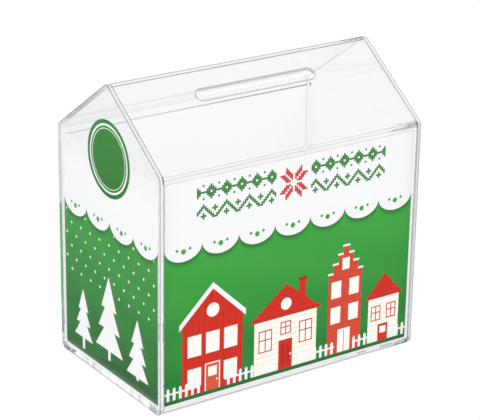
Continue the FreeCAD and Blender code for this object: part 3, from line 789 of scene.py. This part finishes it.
def fence(a):
    """White pickets between the doors, on a dark ground line."""
    u, v = a.u, a.v
    pu = (u + 200.0).mod(5.0) - 2.5
    away = a.ink(10.0 - (u + 66.0).abs()) * a.ink(9.0 - (u + 4.0).abs()) * a.ink(8.2 - (u - 48.0).abs()) * a.ink(6.6 - (u - 84.0).abs())
    picket = a.ink((pu.abs() - 1.15).max((v + pu.abs() * 1.1) - 19.2)).max(a.rect(-200, 200, 13.8, 15.2))
    a.lay(WHITE, picket * away * a.step(v, 8.0, 8.4))
    a.lay(srgb(36, 108, 48), a.ink(v - 9.2))


def border(a):
    """Two rows of cross stitches, diamonds over a zigzag, with an eight-petalled star in the middle."""
    cell = 1.55
    cu, cv = a.u * (1 / cell) + 0.5, (a.v - 138.2) * (1 / cell)
    i, j = cu.floor(), cv.floor()
    fi, fj = cu - i, cv - j
    ai = i.abs()
    near = lambda s, t: (s - t).abs().less(0.25)
    wide = ai.less(51.5) * ai.more(9.5)
    e8 = ((i + 200.0).mod(8.0) - 4.0).abs()
    bj = (j - 12.0).abs()
    both = e8 + bj
    diamonds = (both.less(3.25) * both.more(0.75)).max(near(e8, 4.0) * near(bj, 0.0)).max(near(e8, 4.0) * near(bj, 3.0)) * bj.less(3.5)
    e12 = ((i + 204.0).mod(12.0) - 6.0).abs()
    rows = j.less(6.5) * j.more(-0.5)
    zigzag = near(e12, j).max(near(e12, j + 1.0)) * rows
    bud = (e12 + (j - 4.0).abs()).less(1.25).max(((6.0 - e12) + (j - 1.0).abs()).less(1.25) * rows)
    a.stitches(srgb(8, 124, 14), diamonds.max(zigzag).max(bud) * wide, fi, fj)
    far, near_ = ai.max((j - 7.0).abs()), ai.min((j - 7.0).abs())
    star = near_.more(0.5) * (far - near_).more(0.5) * (far - near_).less(3.5) * near_.less(4.5) * far.less(7.5)
    a.stitches(srgb(200, 22, 12), star, fi, fj)


def long_print():
    """The two long films: a scalloped white top, a stitched border and a street of small houses."""
    a = Art("print_long")
    x, y, z = a.coords()
    a.begin(x * (y.less(0.0) * 2.0 - 1.0), z, GREEN_TOP)
    a.motif("ground", lambda a: a.field(6.0, 118.0))
    for draw in (plank_house, board_house, step_house, small_house, fence):
        a.motif(draw.__name__, draw)
    a.motif("scallops_long", lambda a: a.scallops(30.0857, 122.0, 11.0, 15.0429))
    a.motif("border", border)
    return a.done()


def firs(a):
    """White fir trees on a dark hill, with dots above."""
    u, v = a.u, a.v
    row = (v * (1 / 9.0)).floor()
    du = (u + 300.0 + row.mod(2.0) * 6.5).mod(13.0) - 6.5
    dv = v.mod(9.0) - 4.5
    a.lay(WHITE, a.step((du * du + dv * dv).sqrt(), 1.15, 0.9) * a.step(v, 62.0, 64.0))
    for cx, base, h in ((-38.0, 15.0, 42.0), (-2.0, 17.0, 62.0), (36.0, 13.0, 48.0)):
        half = h * 0.30
        a.lay(WHITE, a.rect(cx - 1.6, cx + 1.6, base - 6.0, base + 6.0))
        for lo, hi, w in ((0.08, 0.5, 1.0), (0.34, 0.76, 0.78), (0.6, 1.0, 0.55)):
            a.lay(WHITE, a.gable(cx, half * w, base + h * lo, h * (hi - lo)))
    a.lay(srgb(30, 94, 42), a.step((u * 0.055 + 0.6).sin() * 3.2 + 13.0 - v, -SOFT, SOFT))


def short_print():
    """The two end films: the same scalloped top over green with fir trees."""
    a = Art("print_short")
    x, y, z = a.coords()
    a.begin(y * (x.less(0.0) * -2.0 + 1.0), z, GREEN_TOP)
    a.motif("ground_short", lambda a: a.field(6.0, 118.0, srgb(20, 104, 38), srgb(50, 150, 54)))
    a.motif("firs", firs)
    # painted shade: the white gets darker towards the top of the end films
    a.motif("scallops_short", lambda a: a.scallops(31.35, 122.0, 11.0, 0.0, a.mix(srgb(243, 243, 243), srgb(236, 236, 236), a.step(a.v, 140.0, 168.0))))
    return a.done()


def paper_material():
    """The unprinted back of the films, with painted light on the back film and a painted shade line on the end films.
    """
    sh = Shade("film_back")
    grain = sh.noise(900.0, 3.0, 0.6)
    x, y, z = sh.coords()
    # painted light: the back film's plain side is made lighter than the others
    behind = sh.step(y, 63.6, 63.9)
    colour = sh.mix(sh.mix(srgb(238, 238, 239), srgb(242, 242, 243), grain), sh.mix(srgb(245, 245, 246), srgb(248, 248, 249), grain), behind)
    # painted shade: a dark line near the top of the end films towards their back corners, stronger on the right
    top = sh.step(z, 165.55, 165.75) * sh.step(y, 60.0, 61.0) * (sh.step(x, -60.0, 90.0) * 0.55 + 0.30)
    colour = sh.mix(colour, srgb(120, 122, 126), top)
    rough = sh.noise(70.0, 2.0) * 0.1 + 0.5
    p = sh.principled(Base_Color=colour, Roughness=rough, Normal=sh.bump(grain, 0.00004, 0.4))
    sh.nt.links.new(p.outputs[0], sh.out.inputs[0])
    return sh.mat


def label_material():
    a = Art("label_print")
    x, y, z = a.coords()
    a.begin(y, z, srgb(22, 124, 24))
    a.colour = a.mix(srgb(2, 114, 6), srgb(6, 127, 10), a.step(z, 140.0, 195.0))
    du, dv = a.u, a.v - 167.5
    r = (du * du + dv * dv).sqrt()
    a.lay(WHITE, a.ink((r - 24.2).abs() - 0.75))
    a.lay(WHITE, a.ink((r - 21.6).abs() - 0.28))
    return a.done(0.36)


def metal(name, colour, rough, kind):
    """Plain metals. kind 'brushed' has lines along X, 'turned' rings about the lock's axis, 'plated' a soft cloud."""
    sh = Shade(name)
    if kind == "brushed":
        line = sh.noise(160.0, 4.0, 0.6, (0.06, 5.0, 5.0))
        height, dist = line, 0.00003
    elif kind == "turned":
        x, y, z = sh.coords()
        dy = y + 26.0
        r = (x * x + dy * dy).sqrt()
        line = (r * 26.0).sin() * 0.5 + 0.5
        height, dist = line, 0.000008
    else:
        line = sh.noise(240.0, 3.0, 0.6)
        height, dist = line, 0.00002
    c = sh.mix(tuple(v * 0.86 for v in colour), colour, line)
    rr = line * 0.10 + rough
    p = sh.principled(Base_Color=c, Metallic=1.0, Roughness=rr, Normal=sh.bump(height, dist, 0.5))
    sh.nt.links.new(p.outputs[0], sh.out.inputs[0])
    return sh.mat


# ---------------------------------------------------------------------------
# the pieces
# ---------------------------------------------------------------------------
CLEAR = clear_material()
BOND = bond_material()
BACK = paper_material()


def add(obj, node, body="case"):
    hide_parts(node)
    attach(obj, body)
    return obj


SHEETS = [CLEAR, BOND, arris_material(), line_material(), milled_material()]
add(wrap_mesh(SHEETS), "wrap")
# the grey bands along the end plates' outer edges are painted shade, wider on the right plate
add(gable_mesh("left_gable_plate", -1, SHEETS[:3], line=0.15), "left_gable")
add(gable_mesh("right_gable_plate", 1, SHEETS[:3], line=0.45), "right_gable")


def base_mesh():
    b = Builder()
    outer = round_rect(-106.7, 106.7, -62.8, 62.8, 0.4, 3)
    holes = [round_rect(-55, 55, -37, 37, 4.0, 8)]
    holes += [circle(sx * 36 + rx * 7.5, 44, 1.05, 24) for sx in (-1, 1) for rx in (-1, 1)]
    slab(b, outer, holes, LIFT_Z, 3.03, 5.97, 0.25, 0.25)
    return b.make("base_sheet", [CLEAR])


def hatch_mesh():
    b = Builder()
    outer = round_rect(-54.4, 54.4, -36.4, 36.4, 3.4, 8)
    holes = [circle(sx * 36 + rx * 7.5, 30, 1.05, 24) for sx in (-1, 1) for rx in (-1, 1)]
    cut = math.acos(5.25 / 6.05)
    hole = []
    for a0 in (cut, math.pi + cut):
        hole += arc(Vector((0, -26)), 6.05, a0, a0 + math.pi - 2 * cut, 20)
    # the two flats keep the round wall's end normals apart from their own
    flat = [(p, n if abs(p.x) < 5.2 else Vector((math.copysign(1, p.x), 0))) for p, n in hole]
    holes.append(flat)
    slab(b, outer, holes, LIFT_Z, 2.73, 5.67, 0.25, 0.25)
    return b.make("hatch_sheet", [CLEAR])


def blocks_mesh(name, plans, top):
    """Small clear blocks welded to the base plate, with their edges broken."""
    b = Builder()
    for x0, x1, y0, y1 in plans:
        slab(b, round_rect(x0, x1, y0, y1, 1.2, 6), [], LIFT_Z, 6.0, top, 0.15, 0.5, mat_round=1)
    return b.make(name, [CLEAR, SHEETS[2]])


add(base_mesh(), "base_plate")
add(hatch_mesh(), "hatch_plate", "hatch")
add(blocks_mesh("strike_piece", [(-9.0, 9.0, -50.0, -39.5)], 19.0), "strike_block")
add(blocks_mesh("stop_pieces", [(26.0, 42.0, -45.0, -32.0), (-42.0, -26.0, -45.0, -32.0)], 9.0), "stop_tabs")


LONG, SHORT = long_print(), short_print()
CUT = cut_material()
FRONT = lambda u, v, w: Vector((u, w, v))
SIDE = lambda u, v, w: Vector((w, u, v))


def film(name, node, lift, half, top, art, low, high, printed_high, edge):
    """A printed film: the art on the side that faces the wall, plain on the other side and the edges."""
    b = Builder()
    slab(b, round_rect(-half, half, 6.2, top, 0.5, 4), [], lift, low, high, 0.05, 0.05, 1 if printed_high else 0, 0 if printed_high else 1, 2, 2)
    add(b.make(name, [art, BACK, edge]), node)


film("front_film", "front_print", FRONT, 105.3, 168.5, LONG, -64.7, -64.3, False, CUT)
film("back_film", "back_print", FRONT, 105.3, 166.5, LONG, 64.3, 64.7, True, CUT)
film("left_film", "left_print", SIDE, 62.7, 168.5, SHORT, -106.7, -106.3, False, BACK)
film("right_film", "right_print", SIDE, 62.7, 168.5, SHORT, 106.3, 106.7, True, BACK)

LABEL = label_material()


def label_mesh(name, low, high, outer_high):
    b = Builder()
    slab(b, circle(0, 167.5, 28.0, 96), [], SIDE, low, high, 0.03, 0.03, 1 if outer_high else 0, 0 if outer_high else 1, 1, 2)
    return b.make(name, [LABEL, BACK])


add(label_mesh("label_disc", -106.95, -106.8, False), "gable_label")

METALS = {
    "hinge_steel": metal("hinge_steel", (0.56, 0.56, 0.57), 0.24, "brushed"),
    "rivet_aluminium": metal("rivet_aluminium", (0.72, 0.72, 0.74), 0.28, "plated"),
    "lock_chrome": metal("lock_chrome", (0.66, 0.67, 0.69), 0.08, "turned"),
    "lock_plug_metal": metal("lock_plug_metal", (0.55, 0.46, 0.28), 0.2, "turned"),
    "lock_steel": metal("lock_steel", (0.5, 0.5, 0.52), 0.25, "plated"),
    "clear_sheet": CLEAR,
}
slots = {s["node"]: s["material_slot"] for s in frame["record"]["subparts"]}
for name, obj in frame["nodes"].items():
    if not obj.hide_render:
        obj.data.materials.clear()
        obj.data.materials.append(METALS[slots[name]])

# ---------------------------------------------------------------------------
# floor, light, camera
# ---------------------------------------------------------------------------
SEEN, THROUGH, LIT = 1.02, 1.07, 1.20
NEAR_MIRRORED, FRONT_MIRRORED, LEFT_MIRRORED, BACK_MIRRORED, CAUGHT = 0.18, 0.32, 0.30, 1.00, 0.97
LOW_MIRRORED, HIGH_MIRRORED = 0.30, 0.45
TOP_POWER, FRONT_POWER, LEFT_POWER = 2.0, 0.2, 3.4


def tent(tree, mirrored):
    """How bright the white tent and its floor are: plain white where looked at, straight or through the clear sheet,
    and darker where mirrored, as a tent with grey cards about it shows in polished faces. Light that has turned often in a
    sheet comes out nearly white."""
    lp = tree.nodes.new("ShaderNodeLightPath")

    def op(kind, a, b):
        n = tree.nodes.new("ShaderNodeMath")
        n.operation = kind
        for k, v in enumerate((a, b)):
            if isinstance(v, float):
                n.inputs[k].default_value = v
            else:
                tree.links.new(v, n.inputs[k])
        return n.outputs[0]

    def blend(a, b, f):
        return op("ADD", a, op("MULTIPLY", op("SUBTRACT", b, a), f))

    turned = lambda depth: op("GREATER_THAN", lp.outputs["Glossy Depth"], depth)
    v = blend(SEEN, THROUGH, op("GREATER_THAN", lp.outputs["Transmission Depth"], 0.5))
    v = blend(blend(v, mirrored, turned(0.5)), CAUGHT, turned(1.5))
    return blend(v, LIT, op("GREATER_THAN", lp.outputs["Diffuse Depth"], 0.5))


floor_b = Builder()
floor_b.face([(-4000, -4000, -0.15), (4000, -4000, -0.15), (4000, 4000, -0.15), (-4000, 4000, -0.15)], Vector((0, 0, 1)))
sh = Shade("floor")
em = sh.new("ShaderNodeEmission")
em.inputs[0].default_value = (1, 1, 1, 1)
px, py, pz = sh.coords()
left_card = sh.step(py + px * 1.62, -69.0, -75.0)
card = sh.step(py, -72.0, -80.0).max(sh.step(px, -114.0, -122.0) * left_card)
far_left = sh.step(px, -275.0, -330.0) * left_card
far_front = sh.step(py, -290.0, -335.0) * (1.0 - far_left)
mirrored = (card * (NEAR_MIRRORED - BACK_MIRRORED) + BACK_MIRRORED) + far_front * (FRONT_MIRRORED - NEAR_MIRRORED) + far_left * (LEFT_MIRRORED - NEAR_MIRRORED)
sh.nt.links.new(tent(sh.nt, mirrored.k), em.inputs[1])
# the floor hides nothing: looked at straight, through the sheets or from below it is as white as the tent behind it
geo, lp = sh.new("ShaderNodeNewGeometry"), sh.new("ShaderNodeLightPath")
gone = sh.new("ShaderNodeBsdfTransparent")
side = sh.new("ShaderNodeMixShader")
turned = S(sh, lp.outputs["Glossy Depth"]) + S(sh, lp.outputs["Diffuse Depth"])
straight = S(sh, lp.outputs["Is Camera Ray"]).max(S(sh, lp.outputs["Is Transmission Ray"]) * turned.less(0.5))
sh.put(side.inputs[0], straight.max(S(sh, geo.outputs["Backfacing"])))
sh.nt.links.new(em.outputs[0], side.inputs[1])
sh.nt.links.new(gone.outputs[0], side.inputs[2])
sh.nt.links.new(side.outputs[0], sh.out.inputs[0])
floor = floor_b.make("floor", [sh.mat])

world = bpy.data.worlds.new("studio")
scene.world = world
world.use_nodes = True
wt = world.node_tree
bg = wt.nodes["Background"]
bg.inputs[0].default_value = (1, 1, 1, 1)
# the tent's top is its brightest part
tc, sep = wt.nodes.new("ShaderNodeTexCoord"), wt.nodes.new("ShaderNodeSeparateXYZ")
wt.links.new(tc.outputs["Generated"], sep.inputs[0])
sky = wt.nodes.new("ShaderNodeMapRange")
sky.interpolation_type = "SMOOTHSTEP"
for k, v in enumerate((0.35, 0.75, LOW_MIRRORED, HIGH_MIRRORED)):
    sky.inputs[k + 1].default_value = v
wt.links.new(sep.outputs[2], sky.inputs[0])
wt.links.new(tent(wt, sky.outputs[0]), bg.inputs[1])


def area(name, at, to, size, power):
    light = bpy.data.lights.new(name, "AREA")
    light.shape = "RECTANGLE"
    light.size, light.size_y = size
    light.energy = power
    o = bpy.data.objects.new(name, light)
    scene.collection.objects.link(o)
    o.location = at
    o.rotation_euler = (Vector(to) - Vector(at)).to_track_quat("-Z", "Y").to_euler()
    o.visible_glossy = False
    return o


area("top_light", (0.1, 0.1, 1.5), (0, 0, 0.1), (1.4, 1.2), TOP_POWER)
area("front_light", (-0.5, -1.5, 0.9), (0, 0, 0.1), (1.2, 1.0), FRONT_POWER)
area("left_light", (-1.5, -0.1, 0.9), (0, 0, 0.1), (1.2, 1.0), LEFT_POWER)

P = dict(az=-34.676, el=21.4639, roll=-0.8745, f=1958.448, tx=-0.0101, ty=-0.4547, dist=6.6051)
W = 0.220
a, e, r = (math.radians(P[k]) for k in ("az", "el", "roll"))
back = Vector((math.sin(a) * math.cos(e), -math.cos(a) * math.cos(e), math.sin(e)))
right = Vector((math.cos(a), math.sin(a), 0))
R = Matrix(((math.cos(r), -math.sin(r), 0), (math.sin(r), math.cos(r), 0), (0, 0, 1))) @ Matrix((right, back.cross(right), back))
M = R.transposed().to_4x4()
M.translation = -(R.transposed() @ (Vector((P["tx"], P["ty"], -P["dist"])) * W))
cam = bpy.data.cameras.new("camera")
cam.sensor_width, cam.sensor_fit, cam.lens = 36, "HORIZONTAL", P["f"] * 36 / 480
cam_obj = bpy.data.objects.new("camera", cam)
scene.collection.objects.link(cam_obj)
cam_obj.matrix_world = M
scene.camera = cam_obj

scene.view_settings.view_transform = "Standard"
cy = scene.cycles
cy.max_bounces, cy.transmission_bounces, cy.glossy_bounces = 128, 96, 96
cy.diffuse_bounces, cy.transparent_max_bounces = 6, 48
cy.caustics_reflective = cy.caustics_refractive = True
cy.sample_clamp_indirect = 4.0
cy.use_denoising = True
# light caught in a sheet takes the tent's own brightness after a few turns
cy.use_fast_gi, cy.fast_gi_method, cy.ao_bounces_render, cy.ao_bounces = True, "REPLACE", 2, 2
world.light_settings.distance = 0.00005
